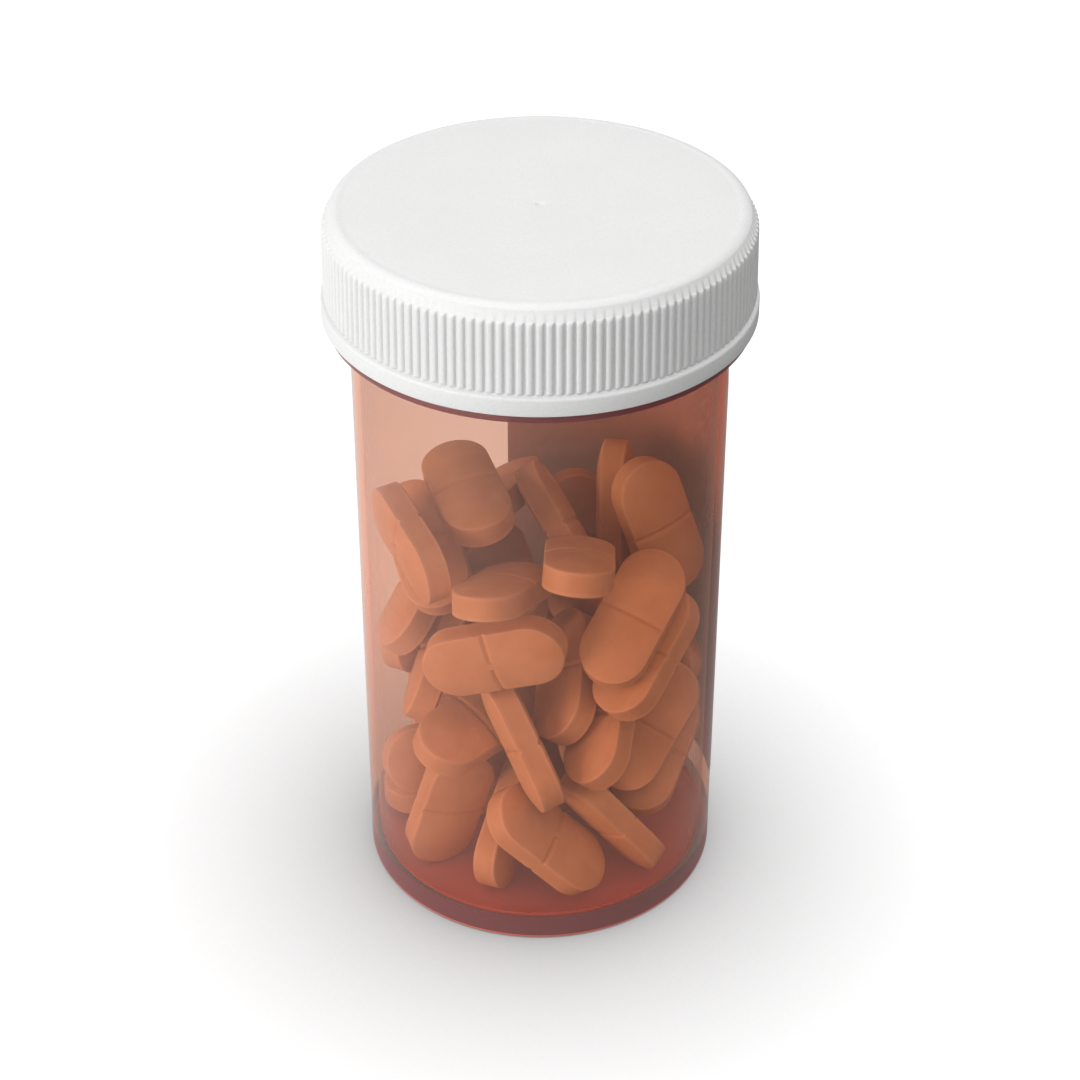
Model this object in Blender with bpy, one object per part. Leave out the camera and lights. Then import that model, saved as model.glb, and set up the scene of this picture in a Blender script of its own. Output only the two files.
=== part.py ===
"""Prescription vial with its screw cap, sealing disc, paper label and tablets.

One frame for everything: metres, +Z up, origin at the centre of the vial's base.
Lengths in the constants below are millimetres and are scaled by MM when a mesh is made.
"""
import math

import bmesh
import bpy
import numpy as np
from mathutils import Vector

MM = 0.001

# --- vial body -----------------------------------------------------------------------------
BODY_R = 20.5            # outer radius of the straight wall
BORE_R = 19.55           # inner radius of the straight wall
BASE_BEVEL = 0.4         # bevel round the foot
FLOOR_Z = 2.1            # top of the floor
FLANGE_R = 22.9          # support ring under the cap
FLANGE_Z = (71.7, 72.45)
NECK_R = 19.9            # root of the outside thread
MOUTH_R = 18.6           # way in
RIM_Z = 82.1
SEGMENTS = 72            # facets round the vial, the label and the inside of the cap

# --- screw thread, right-handed ------------------------------------------------------------
PITCH = 4.23
RIDGE_H = 0.9            # height of either ridge above its root
RIDGE_CREST = 0.8        # width of the crest along the axis
RIDGE_BASE = 1.7         # width of the foot along the axis
NECK_RIDGE_Z = 75.2      # centre of the neck's ridge at azimuth 0, first turn
NECK_TURNS = (0.0, 1.25)
CAP_RIDGE_Z = NECK_RIDGE_Z - PITCH / 2   # the cap's ridge runs half a pitch below the neck's
CAP_TURNS = (0.5, 1.6)
THREAD_ROWS = 20

# --- cap -----------------------------------------------------------------------------------
CAP_Z = (72.7, 84.6)
CAP_WALL_R = 21.15       # root of the inside thread
CAP_ROOF_Z = 83.4
FLARE_R = 23.4           # plain band below the grip ribs
FLARE_TOP = 74.8
RIB_R = (23.15, 22.9)    # crests of the ribs at their lower and upper ends
RIB_DEPTH = 0.4
RIB_COUNT = 144
SHOULDER_R = 1.4

# --- sealing disc --------------------------------------------------------------------------
LINER_R = 20.8
LINER_Z = (82.35, 83.15)

# --- label ---------------------------------------------------------------------------------
LABEL_R = (20.55, 20.75)
LABEL_Z = (7.1, 64.0)
LABEL_AZIMUTH = (2.0, 100.8)             # degrees from +X towards +Y
LABEL_STEP = 5.0

# --- tablets -------------------------------------------------------------------------------
TABLET_L = 16.5
TABLET_W = 7.8
TABLET_BAND = 2.7        # upright edge between the two domed faces
TABLET_DOME = 0.7
HALF_LINE = (TABLET_L - TABLET_W) / 2
END_R = TABLET_W / 2
HALF_BAND = TABLET_BAND / 2
TABLET_GAP = 0.34        # clear space kept between neighbours
WALL_GAP = 0.31          # clear space kept from the wall and the floor
LEAN = 34.0              # degrees the reference plane of the placements leans back from upright

# Tablets along the front and the top of the heap, placed by hand:
# (x, y, z) of the centre, then three angles against a reference plane that faces -Y and leans
# back by LEAN. turn: long axis in that plane, anticlockwise from +X. tip: end lifted out of the
# plane. roll: turn about the long axis, 0 with a domed face parallel to the plane.
PLACED = (
    ((-8.0, 6.0, 43.5), (-63, 48, 12)),
    ((-3.5, 14.5, 39.5), (50, -62, 62)),
    ((-12.0, 9.0, 36.0), (110, -25, 5)),
    ((-14.0, -2.5, 42.5), (-56, 40, -68)),
    ((-8.0, -10.0, 41.0), (-149, 65, -57)),
    ((-6.0, 2.0, 35.0), (-70, 45, 0)),
    ((0.5, 8.0, 37.5), (-60, 5, 80)),
    ((0.5, -12.0, 42.0), (-95, 76, 0)),
    ((7.5, 17.0, 33.0), (-62, -25, 0)),
    ((8.5, 8.5, 38.5), (-90, -30, 82)),
    ((15.0, 6.0, 40.0), (-69, -25, 20)),
    ((9.0, -9.0, 38.5), (-119, 12, -12)),
    ((13.5, -7.0, 31.5), (-119, 10, -40)),
    ((-5.0, -14.0, 37.5), (10, 18, -33)),
    ((-15.5, 3.0, 33.5), (-118, 10, -62)),
    ((-16.5, 5.0, 29.5), (-110, 10, 60)),
    ((-16.0, -5.0, 30.0), (-108, 10, -80)),
    ((-15.0, 4.0, 15.5), (-85, -15, 8)),
    ((-11.0, -7.0, 22.0), (-150, 40, -24)),
    ((-13.0, -2.0, 11.0), (-170, 15, 10)),
    ((-10.0, -8.0, 10.0), (-110, -32, 32)),
    ((-2.5, 1.0, 9.0), (-55, 15, 5)),
    ((-1.0, -12.0, 22.5), (-65, -8, -80)),
    ((4.5, -3.0, 24.0), (-95, 30, -50)),
    ((7.0, -6.0, 20.5), (-100, 25, -45)),
    ((-3.5, -7.0, 1.0), (-109, 20, 65)),
    ((2.0, -15.5, 9.5), (-40, -22, 42)),
    ((8.5, -9.0, 7.5), (-46, -30, -72)),
    ((13.0, -5.0, 19.5), (-120, 0, -10)),
    ((15.5, -2.0, 12.0), (-113, 20, -10)),
    ((14.5, 1.0, 7.5), (-92, -30, 20)),
    ((-12.0, 4.5, 2.5), (180, 0, -56)),
    ((15.5, 4.0, 27.0), (-60, 10, -30)),
)

# Spare tablets that fill the space behind the placed ones, wherever one more fits.
SPARE_COUNT = 12
SPARE_FRONT_Y = -3.1     # none goes further forward than this
SPARE_TOP_Z = 38.0
SPARE_CLEAR = 0.15
GRID_CELL = 0.6
GRID_STEP = 1.5

# --- materials: colour, roughness, metallic ------------------------------------------------
AMBER = ((0.62, 0.19, 0.05, 0.45), 0.12, 0.0)
CAP_WHITE = ((0.86, 0.86, 0.85, 1.0), 0.42, 0.0)
FOAM = ((0.90, 0.89, 0.86, 1.0), 0.85, 0.0)
PAPER = ((0.93, 0.93, 0.91, 1.0), 0.70, 0.0)
TABLET_ORANGE = ((0.80, 0.36, 0.16, 1.0), 0.55, 0.0)


def clear_scene():
    """Remove every object of the start-up scene."""
    for obj in list(bpy.data.objects):
        bpy.data.objects.remove(obj, do_unlink=True)


def make_material(name, finish):
    """Make a Principled material from (colour, roughness, metallic)."""
    colour, roughness, metallic = finish
    material = bpy.data.materials.new(name)
    material.use_nodes = True
    shader = material.node_tree.nodes["Principled BSDF"]
    shader.inputs["Base Color"].default_value = colour
    shader.inputs["Alpha"].default_value = colour[3]
    shader.inputs["Roughness"].default_value = roughness
    shader.inputs["Metallic"].default_value = metallic
    material.diffuse_color = colour
    return material


def make_object(name, points, faces, finish, parent=None, smooth_below=32.0):
    """Make one closed body from points in millimetres and polygons, with its faces outward."""
    mesh = bpy.data.meshes.new(name)
    mesh.from_pydata([Vector(p) * MM for p in points], [], faces)
    outward = bmesh.new()
    outward.from_mesh(mesh)
    bmesh.ops.recalc_face_normals(outward, faces=outward.faces)
    outward.to_mesh(mesh)
    outward.free()
    mesh.shade_smooth()
    mesh.set_sharp_from_angle(angle=math.radians(smooth_below))
    mesh.materials.append(make_material(name, finish))
    obj = bpy.data.objects.new(name, mesh)
    bpy.context.scene.collection.objects.link(obj)
    obj.parent = parent
    return obj


class Skin:
    """Points and polygons of a closed surface, put together ring by ring."""

    def __init__(self):
        self.points = []
        self.faces = []

    def ring(self, points):
        """Add a ring of points (one point makes a pole) and return its indices."""
        start = len(self.points)
        self.points.extend(tuple(map(float, p)) for p in points)
        return list(range(start, len(self.points)))

    def bridge(self, first, second):
        """Join two rings; the counts may differ by a whole factor, or one may be a pole."""
        if len(first) > len(second):
            first, second = second, first
        share = len(second) // len(first)
        for i, corner in enumerate(first):
            following = first[(i + 1) % len(first)]
            run = [second[(i * share + k) % len(second)] for k in range(share + 1)]
            if len(first) == 1:
                self.faces.extend((corner, run[k + 1], run[k]) for k in range(share))
            else:
                self.faces.append((corner, following, *reversed(run)))


def circle(radius, z, count=SEGMENTS):
    """Points of a level circle about +Z; `radius` may be one number or one per point."""
    angle = 2 * np.pi * np.arange(count) / count
    radii = np.broadcast_to(radius, count)
    return np.column_stack([radii * np.cos(angle), radii * np.sin(angle), np.full(count, z)])


def ridge(z, first_z, turns, count=SEGMENTS):
    """Height of a helical ridge above its root, round one level circle.

    Azimuth plus whole turns gives the way along the helix, whose centre line is first_z + PITCH
    per turn. The cross-section is a trapezoid and both ends fade out over a twelfth of a turn.
    """
    azimuth = np.arange(count) / count
    whole = np.round((z - first_z) / PITCH - azimuth)
    along = azimuth + whole
    off_centre = np.abs(z - first_z - PITCH * along)
    flank = (RIDGE_BASE - RIDGE_CREST) / 2
    section = np.clip((RIDGE_BASE / 2 - off_centre) / flank, 0.0, 1.0)
    fade = np.clip(12 * np.minimum(along - turns[0], turns[1] - along), 0.0, 1.0)
    return RIDGE_H * section * fade


def make_vial():
    """The one-piece moulded body: foot, floor, wall, support ring, threaded neck."""
    skin = Skin()
    rings = [skin.ring([(0, 0, 0)])]
    low, high = FLANGE_Z
    outside = (
        (BODY_R - BASE_BEVEL, 0.0), (BODY_R, BASE_BEVEL), (BODY_R, low - 0.4),
        (BODY_R + 0.4, low), (FLANGE_R - 0.1, low), (FLANGE_R, low + 0.1),
        (FLANGE_R, high - 0.1), (FLANGE_R - 0.1, high), (NECK_R, high),
    )
    rings += [skin.ring(circle(r, z)) for r, z in outside]
    for z in np.linspace(high + 0.6, RIM_Z - 0.5, THREAD_ROWS):
        rings.append(skin.ring(circle(NECK_R + ridge(z, NECK_RIDGE_Z, NECK_TURNS), z)))
    inside = (
        (NECK_R, RIM_Z - 0.25), (NECK_R - 0.25, RIM_Z), (MOUTH_R + 0.25, RIM_Z),
        (MOUTH_R, RIM_Z - 0.25), (MOUTH_R, high), (BORE_R, high - 1.9),
        (BORE_R, FLOOR_Z + 0.8), (BORE_R - 0.23, FLOOR_Z + 0.23), (BORE_R - 0.8, FLOOR_Z),
    )
    rings += [skin.ring(circle(r, z)) for r, z in inside]
    rings.append(skin.ring([(0, 0, FLOOR_Z)]))
    for lower, upper in zip(rings, rings[1:]):
        skin.bridge(lower, upper)
    return make_object("vial_body", skin.points, skin.faces, AMBER)


def make_cap(parent):
    """The one-piece screw cap: flat top, ribbed grip, plain flared band, inside thread."""
    bottom, top = CAP_Z
    skin = Skin()
    rings = [skin.ring([(0, 0, top)])]
    side_r = RIB_R[1] - 0.1
    for degrees in (0, 30, 60, 90):
        turn = math.radians(degrees)
        radius = side_r - SHOULDER_R * (1 - math.sin(turn))
        rings.append(skin.ring(circle(radius, top - SHOULDER_R * (1 - math.cos(turn)))))
    valleys = np.tile([0.0, RIB_DEPTH], RIB_COUNT)
    grip = ((RIB_R[1], top - SHOULDER_R - 0.4), (RIB_R[0], FLARE_TOP + 0.3))
    rings += [skin.ring(circle(r - valleys, z, 2 * RIB_COUNT)) for r, z in grip]
    thread_low = FLARE_TOP - 0.4
    plain = (
        (FLARE_R - 0.1, FLARE_TOP), (FLARE_R, FLARE_TOP - 0.15), (FLARE_R, bottom + 0.1),
        (FLARE_R - 0.1, bottom), (FLARE_R - 1.2, bottom), (FLARE_R - 1.2, bottom + 0.9),
    )
    rings += [skin.ring(circle(r, z)) for r, z in plain]
    for z in np.linspace(thread_low, CAP_ROOF_Z - 2.2, THREAD_ROWS - 5):
        rings.append(skin.ring(circle(CAP_WALL_R - ridge(z, CAP_RIDGE_Z, CAP_TURNS), z)))
    rings.append(skin.ring(circle(CAP_WALL_R, CAP_ROOF_Z)))
    rings.append(skin.ring([(0, 0, CAP_ROOF_Z)]))
    for upper, lower in zip(rings, rings[1:]):
        skin.bridge(upper, lower)
    return make_object("cap_shell", skin.points, skin.faces, CAP_WHITE, parent)


def make_liner(parent):
    """The sealing disc in the cap's roof."""
    skin = Skin()
    bottom, top = LINER_Z
    rings = [skin.ring([(0, 0, bottom)])]
    for r, z in ((LINER_R - 0.1, bottom), (LINER_R, bottom + 0.1),
                 (LINER_R, top - 0.1), (LINER_R - 0.1, top)):
        rings.append(skin.ring(circle(r, z)))
    rings.append(skin.ring([(0, 0, top)]))
    for lower, upper in zip(rings, rings[1:]):
        skin.bridge(lower, upper)
    return make_object("cap_liner", skin.points, skin.faces, FOAM, parent)


def make_label():
    """The paper label round the back of the wall, with its facets in step with the wall's."""
    first, last = LABEL_AZIMUTH
    inner = np.arange(math.ceil(first / LABEL_STEP), math.floor(last / LABEL_STEP) + 1)
    azimuth = np.radians(np.concatenate([[first], inner * LABEL_STEP, [last]]))
    skin = Skin()
    sections = []
    for angle in azimuth:
        corners = [(LABEL_R[i] * math.cos(angle), LABEL_R[i] * math.sin(angle), LABEL_Z[k])
                   for i, k in ((0, 0), (1, 0), (1, 1), (0, 1))]
        sections.append(skin.ring(corners))
    for near, far in zip(sections, sections[1:]):
        skin.bridge(near, far)
    skin.faces.append(tuple(sections[0]))
    skin.faces.append(tuple(reversed(sections[-1])))
    return make_object("label", skin.points, skin.faces, PAPER)


# --- the heap of tablets -------------------------------------------------------------------
def leaning_axes(turn, tip, roll):
    """Long axis, side axis and face normal of a tablet from its three placing angles."""
    turn, tip, roll = np.radians([turn, tip, roll])
    lean = math.radians(LEAN)
    right = np.array([1.0, 0.0, 0.0])
    upward = np.array([0.0, math.sin(lean), math.cos(lean)])
    outward = np.array([0.0, -math.cos(lean), math.sin(lean)])
    in_plane = np.cos(turn) * right + np.sin(turn) * upward
    across = -np.sin(turn) * right + np.cos(turn) * upward
    long_axis = np.cos(tip) * in_plane + np.sin(tip) * outward
    unrolled = -np.sin(tip) * in_plane + np.cos(tip) * outward
    normal = np.cos(roll) * unrolled + np.sin(roll) * across
    return np.array([long_axis, np.cross(normal, long_axis), normal])


def upright_axes(heading, climb, roll):
    """The same three axes from a compass heading, a climb above level and a roll."""
    heading, climb, roll = np.radians([heading, climb, roll])
    level = np.array([np.cos(heading), np.sin(heading), 0.0])
    up = np.array([0.0, 0.0, 1.0])
    long_axis = np.cos(climb) * level + np.sin(climb) * up
    unrolled = -np.sin(climb) * level + np.cos(climb) * up
    normal = np.cos(roll) * unrolled + np.sin(roll) * np.cross(unrolled, long_axis)
    return np.array([long_axis, np.cross(normal, long_axis), normal])


def reach(axes, direction):
    """How far a tablet extends from its centre in a unit direction (works on whole arrays)."""
    part = np.einsum("...kj,...j->...k", axes, direction)
    level = np.hypot(part[..., 0], part[..., 1])
    rise = np.abs(part[..., 2])
    out = np.minimum(1.0, END_R * level / np.maximum(2 * TABLET_DOME * rise, 1e-9))
    dome = rise * (HALF_BAND + TABLET_DOME * (1 - out ** 2))
    return HALF_LINE * np.abs(part[..., 0]) + END_R * out * level + dome


def even_directions(count):
    """Unit vectors spread evenly over the sphere on a spiral."""
    index = np.arange(count) + 0.5
    z = 1 - index / count
    angle = index * math.pi * (3 - math.sqrt(5))
    radius = np.sqrt(1 - z * z)
    return np.column_stack([radius * np.cos(angle), radius * np.sin(angle), z])


def easiest_way_apart(offset, axes_a, axes_b, give, directions):
    """For each pair, the direction in which it separates with the least movement.

    A direction's cost is its overlap (both reaches and the gap, less the centres' distance)
    over the square root of the pair's give along it. The best of a fixed set of directions is
    taken first, then turned a little at a time.

    Returns:
        Direction, overlap and squared give along it, one row per pair.
    """
    def measure(trial):
        overlap = (reach(axes_a[:, None], trial) + reach(axes_b[:, None], trial) + TABLET_GAP
                   - np.einsum("pdj,pj->pd", trial, offset))
        ease = np.einsum("pdj,pjk,pdk->pd", trial, give, trial)
        return overlap, ease

    count = len(offset)
    row = np.arange(count)
    straight = offset / np.linalg.norm(offset, axis=1, keepdims=True)
    crossed = np.cross(axes_a[:, :, None], axes_b[:, None]).reshape(count, 9, 3)
    length = np.linalg.norm(crossed, axis=2, keepdims=True)
    crossed = np.where(length > 1e-3, crossed / np.maximum(length, 1e-9), axes_a[:, :1])
    fixed = np.broadcast_to(directions, (count, len(directions), 3))
    trial = np.concatenate([fixed, axes_a, axes_b, straight[:, None], crossed], axis=1)
    trial = trial * np.where(np.einsum("pdj,pj->pd", trial, offset) < 0, -1, 1)[..., None]
    overlap, ease = measure(trial)
    best = trial[row, np.argmin(overlap / np.sqrt(ease), axis=1)]
    spread = 0.12
    angles = np.arange(6) * math.pi / 3
    for _ in range(5):
        steep = np.abs(best[:, 2:3]) < 0.9
        helper = np.where(steep, np.array([[0.0, 0.0, 1.0]]), np.array([[1.0, 0.0, 0.0]]))
        side = np.cross(best, helper)
        side /= np.linalg.norm(side, axis=1, keepdims=True)
        other = np.cross(best, side)
        around = (side[:, None] * np.cos(angles)[None, :, None]
                  + other[:, None] * np.sin(angles)[None, :, None])
        near = best[:, None] + spread * around
        near /= np.linalg.norm(near, axis=2, keepdims=True)
        trial = np.concatenate([best[:, None], near], axis=1)
        overlap, ease = measure(trial)
        best = trial[row, np.argmin(overlap / np.sqrt(ease), axis=1)]
        spread *= 0.6
    overlap, ease = measure(best[:, None])
    return best, overlap[:, 0], ease[:, 0]


def settle(centres, axes, give, rounds=300):
    """Push overlapping tablets apart, without turning them, until each has its gap.

    Args:
        centres: one point per tablet.
        axes: its long axis, side axis and face normal.
        give: 3x3 matrix per tablet, how readily it moves in each direction.

    Returns:
        The new centres.
    """
    centres = centres.copy()
    count = len(centres)
    one, two = np.triu_indices(count, 1)
    directions = even_directions(96)
    angle = 2 * np.pi * np.arange(48) / 48
    level = np.column_stack([np.cos(angle), np.sin(angle), np.zeros(48)])
    to_wall = reach(axes[:, None], np.broadcast_to(level, (count, 48, 3)))
    to_floor = reach(axes, np.broadcast_to([0.0, 0.0, -1.0], (count, 3)))
    for _ in range(rounds):
        offset = centres[two] - centres[one]
        near = np.linalg.norm(offset, axis=1) < TABLET_L + TABLET_GAP
        a, b = one[near], two[near]
        way, overlap, ease = easiest_way_apart(
            offset[near], axes[a], axes[b], give[a] + give[b], directions)
        hit = overlap > 0
        a, b, way = a[hit], b[hit], way[hit]
        share = (overlap[hit] / ease[hit])[:, None]
        push = np.zeros((count, 3))
        contacts = np.zeros(count)
        np.add.at(push, a, -np.einsum("pjk,pk->pj", give[a], way) * share)
        np.add.at(push, b, np.einsum("pjk,pk->pj", give[b], way) * share)
        np.add.at(contacts, a, 1)
        np.add.at(contacts, b, 1)
        centres += 0.8 * push / np.sqrt(np.clip(contacts, 1, 4))[:, None]
        over = centres @ level.T + to_wall - (BORE_R - 0.05 - WALL_GAP)
        facing = np.argmax(over, axis=1)
        excess = np.maximum(over[np.arange(count), facing], 0)
        sunk = np.maximum(FLOOR_Z + WALL_GAP - (centres[:, 2] - to_floor), 0)
        upward = np.tile([0.0, 0.0, 1.0], (count, 1))
        for normal, depth in ((-level[facing], excess), (upward, sunk)):
            slide = np.einsum("pjk,pk->pj", give, normal)
            centres += slide * (depth / np.einsum("pj,pj->p", slide, normal))[:, None]
        if max(overlap.max(), excess.max(), sunk.max()) < 0.03:
            break
    return centres


def surface_samples():
    """Points spread over a tablet's surface, in its own axes."""
    angle = np.linspace(-np.pi / 2, np.pi / 2, 13)
    end = np.column_stack([HALF_LINE + END_R * np.cos(angle), END_R * np.sin(angle)])
    along = np.linspace(HALF_LINE, -HALF_LINE, 9)[1:-1]
    side = np.column_stack([along, np.full(7, END_R)])
    edge = np.concatenate([end, side, -end, -side])
    parts = [np.column_stack([edge, np.full(len(edge), z)]) for z in (-HALF_BAND, 0, HALF_BAND)]
    for inset in (0.75, 0.4):
        flank = np.column_stack([HALF_LINE + inset * END_R * np.cos(angle),
                                 inset * END_R * np.sin(angle)])[::2]
        loop = np.concatenate([flank, [[0, inset * END_R]], -flank, [[0, -inset * END_R]]])
        z = HALF_BAND + TABLET_DOME * (1 - inset ** 2)
        parts += [np.column_stack([loop, np.full(len(loop), s * z)]) for s in (-1, 1)]
    spine = np.linspace(-HALF_LINE, HALF_LINE, 5)
    top = HALF_BAND + TABLET_DOME
    parts += [np.column_stack([spine, np.zeros(5), np.full(5, s * top)]) for s in (-1, 1)]
    return np.concatenate(parts)


def clearance(centre, axes, points):
    """Distance-like measure from points to a tablet's surface, negative inside it."""
    local = (points - centre) @ axes.T
    past_line = local[..., 0] - np.clip(local[..., 0], -HALF_LINE, HALF_LINE)
    radial = np.hypot(past_line, local[..., 1])
    half_thickness = HALF_BAND + TABLET_DOME * np.clip(1 - (radial / END_R) ** 2, 0, 1)
    return np.maximum(radial - END_R, np.abs(local[..., 2]) - half_thickness)


def fill_gaps(centres, axes):
    """Put spare tablets into free space behind the placed ones, lowest place first.

    Free space is a grid that holds, for each cell, the clearance to the nearest tablet or
    wall. A spare fits where that stays above SPARE_CLEAR over its whole surface.
    """
    across = np.arange(-19.8, 19.9, GRID_CELL)
    upward = np.arange(1.5, 50.0, GRID_CELL)
    cells = np.stack(np.meshgrid(across, across, upward, indexing="ij"), axis=-1)
    bore = BORE_R - 0.05 - np.hypot(cells[..., 0], cells[..., 1])
    free = np.minimum(bore, cells[..., 2] - FLOOR_Z)
    for centre, own in zip(centres, axes):
        free = np.minimum(free, clearance(centre, own, cells))

    def look(points):
        index = []
        for k, ticks in enumerate((across, across, upward)):
            cell = ((points[..., k] - ticks[0]) / GRID_CELL + 0.5).astype(int)
            index.append(np.clip(cell, 0, len(ticks) - 1))
        return free[tuple(index)]

    ways = [upright_axes(heading, climb, roll) for heading in range(0, 180, 30)
            for climb in (-60, -30, 0, 30, 60) for roll in (0, 45, 90, 135)]
    ways += [upright_axes(0, 90, roll) for roll in range(0, 180, 30)]
    level = np.arange(-15.0, 15.1, GRID_STEP)
    heights = np.arange(4.3, SPARE_TOP_Z, GRID_STEP)
    x, y, z = (part.ravel() for part in np.meshgrid(level, level, heights, indexing="ij"))
    inside = (np.hypot(x, y) < 17) & (y > SPARE_FRONT_Y)
    places = np.column_stack([x, y, z])[inside]
    offsets = [surface_samples()[::2] @ way for way in ways]
    found = []
    for _ in range(SPARE_COUNT):
        open_places = places[look(places) > HALF_BAND + SPARE_CLEAR + 0.3]
        best = None
        for way, offset in zip(ways, offsets):
            room = look(open_places[:, None] + offset[None, ::6]).min(axis=1)
            likely = open_places[room > SPARE_CLEAR]
            if not len(likely):
                continue
            room = look(likely[:, None] + offset[None]).min(axis=1)
            cost = (0.2 * likely[:, 2] + 0.05 * np.hypot(likely[:, 0], likely[:, 1])
                    - 0.5 * np.minimum(room, 1.0))
            cost[room <= SPARE_CLEAR] = np.inf
            pick = int(np.argmin(cost))
            if np.isfinite(cost[pick]) and (best is None or cost[pick] < best[0] - 1e-9):
                best = (cost[pick], likely[pick], way)
        if best is None:
            break
        found.append((best[1], best[2]))
        free = np.minimum(free, clearance(best[1], best[2], cells))
    return found


def heap():
    """Centres and axes of every tablet: the placed ones settled, then the spares behind."""
    centres = np.array([place for place, _ in PLACED])
    axes = np.array([leaning_axes(*angles) for _, angles in PLACED])
    lean = math.radians(LEAN)
    inward = np.array([0.0, math.cos(lean), -math.sin(lean)])
    mostly_inward = 0.12 * np.eye(3) + 0.7 * np.outer(inward, inward)
    centres = settle(centres, axes, np.array([mostly_inward] * len(centres)))
    spares = fill_gaps(centres, axes)
    centres = np.concatenate([centres, np.array([place for place, _ in spares])])
    axes = np.concatenate([axes, np.array([way for _, way in spares])])
    give = [0.03 * np.eye(3)] * len(PLACED) + [np.eye(3)] * len(spares)
    return settle(centres, axes, np.array(give)), axes


def tablet_mesh():
    """Points and polygons of one tablet about its own centre: stadium outline, domed faces."""
    angle = np.linspace(-np.pi / 2, np.pi / 2, 7)
    end = np.column_stack([END_R * np.cos(angle), END_R * np.sin(angle)])
    outline = np.concatenate([end, -end])
    shift = np.concatenate([np.full(7, HALF_LINE), np.full(7, -HALF_LINE)])
    skin = Skin()
    rings = []
    levels = [(inset, HALF_BAND + TABLET_DOME * (1 - inset ** 2)) for inset in (0.5, 1.0)]
    for inset, z in [(i, -z) for i, z in levels] + levels[::-1]:
        loop = inset * outline + np.column_stack([shift, np.zeros(14)])
        rings.append(skin.ring(np.column_stack([loop, np.full(14, z)])))
    for lower, upper in zip(rings, rings[1:]):
        skin.bridge(lower, upper)
    for loop, z in ((rings[0], -HALF_BAND - TABLET_DOME), (rings[-1], HALF_BAND + TABLET_DOME)):
        left, right = skin.ring([(-HALF_LINE, 0, z), (HALF_LINE, 0, z)])
        skin.faces.extend((loop[k], loop[k + 1], right) for k in range(6))
        skin.faces.extend((loop[k], loop[k + 1], left) for k in range(7, 13))
        skin.faces.append((loop[6], loop[7], left, right))
        skin.faces.append((loop[13], loop[0], right, left))
    return np.array(skin.points), skin.faces


def make_tablets():
    """One object per tablet, numbered from 01."""
    points, faces = tablet_mesh()
    centres, axes = heap()
    for number, (centre, own) in enumerate(zip(centres, axes), start=1):
        placed = points @ own + centre
        make_object(f"tablet_{number:02d}", placed, faces, TABLET_ORANGE, smooth_below=40.0)


def main():
    """Build the whole vial."""
    clear_scene()
    make_vial()
    make_label()
    make_tablets()
    liner = make_liner(None)
    make_cap(liner)


main()
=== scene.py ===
"""Looks of a pharmacy vial: clear amber body, ribbed white cap, paper label and tablets.

Every piece is worked out here as a numpy surface in the frame's own metres and rides on the
body of the node that it replaces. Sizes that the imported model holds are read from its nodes.
"""
import logging
import math
from dataclasses import dataclass
from enum import Enum
from typing import Optional, Sequence, Union

import bpy
import numpy as np
from mathutils import Euler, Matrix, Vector


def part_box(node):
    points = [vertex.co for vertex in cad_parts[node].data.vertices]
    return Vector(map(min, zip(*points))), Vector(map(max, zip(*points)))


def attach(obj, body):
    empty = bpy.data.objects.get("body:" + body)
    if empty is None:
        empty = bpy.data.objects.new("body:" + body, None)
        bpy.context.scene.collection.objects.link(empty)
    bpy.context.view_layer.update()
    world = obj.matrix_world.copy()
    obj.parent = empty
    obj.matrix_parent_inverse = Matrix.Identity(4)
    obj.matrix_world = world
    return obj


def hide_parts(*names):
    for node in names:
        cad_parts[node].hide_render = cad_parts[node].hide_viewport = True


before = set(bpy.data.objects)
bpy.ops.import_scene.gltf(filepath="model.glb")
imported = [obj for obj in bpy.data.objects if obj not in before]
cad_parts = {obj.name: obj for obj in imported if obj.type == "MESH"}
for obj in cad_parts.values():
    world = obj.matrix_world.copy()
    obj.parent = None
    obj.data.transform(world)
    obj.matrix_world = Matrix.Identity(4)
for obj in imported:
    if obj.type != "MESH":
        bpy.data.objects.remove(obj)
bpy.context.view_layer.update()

LOG = logging.getLogger("vial")
MM = 0.001
Colour = tuple[float, float, float]
Socket = bpy.types.NodeSocket
Steps = tuple[tuple[float, float], ...]


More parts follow.
